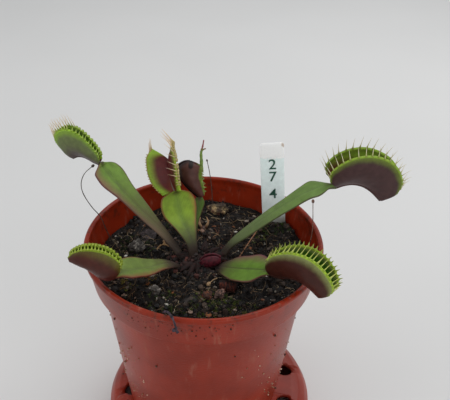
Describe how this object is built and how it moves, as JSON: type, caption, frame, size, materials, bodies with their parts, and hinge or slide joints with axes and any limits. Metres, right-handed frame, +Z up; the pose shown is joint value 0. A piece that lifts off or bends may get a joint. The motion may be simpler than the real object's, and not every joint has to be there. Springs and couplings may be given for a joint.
{
  "type": "potted venus flytrap",
  "caption": "Potted venus flytrap: winged leaf stalks that end in toothed snap traps, in a round plastic nursery pot that stands on an upturned pot, with a plain plant label.",
  "frame": {"origin": "middle of the object's bounding box, on the surface that the lower pot stands on", "axes": "+Z up along the pot's axis, +X to the right as seen in the picture, +Y away from the viewer"},
  "size_m": [0.1376, 0.094, 0.1412],
  "materials": {
    "pot_plastic": "terracotta-coloured moulded plastic, slightly glossy, dusty",
    "stand_plastic": "terracotta-coloured moulded plastic",
    "peat": "damp dark peat with moss",
    "crown": "dark red-brown leaf bases",
    "leaf": "smooth green leaf with a soft sheen",
    "trap": "maroon-brown leaf with a yellow-green rim and teeth",
    "young_leaf": "maroon, slightly glossy",
    "dried_leaf": "dry, dull, dark brown",
    "dry_stem": "dry, pale tan",
    "bark": "rough bark and coir",
    "stone": "rough grey stone",
    "label_plastic": "pale thin plastic, plain"
  },
  "bodies": {
    "root": {"pot": "pot_plastic", "stand": "stand_plastic", "soil": "peat", "crown": "crown", "leaf_far_left": "leaf", "leaf_centre": "leaf", "leaf_back": "leaf", "leaf_far_right": "leaf", "leaf_near_right": "leaf", "leaf_near_left": "leaf", "trap_far_left": "trap", "trap_centre": "trap", "trap_back": "trap", "trap_far_right": "trap", "trap_near_right": "trap", "trap_near_left": "trap", "young_leaf": "young_leaf", "old_trap": "dried_leaf", "plant_label": "label_plastic", "moss_stalk_left": "dried_leaf", "moss_stalk_right": "dried_leaf", "moss_stalk_back": "dried_leaf", "dark_scrap": "dried_leaf", "straw": "dry_stem", "pale_stick": "dry_stem", "rootlet": "dry_stem", "shoot_tips": "dry_stem", "bark_flake": "bark", "grey_stone": "stone", "coir_chunk": "bark", "pale_scrap": "bark", "orange_chip": "bark", "pink_chip": "bark"}
  },
  "joints": []
}
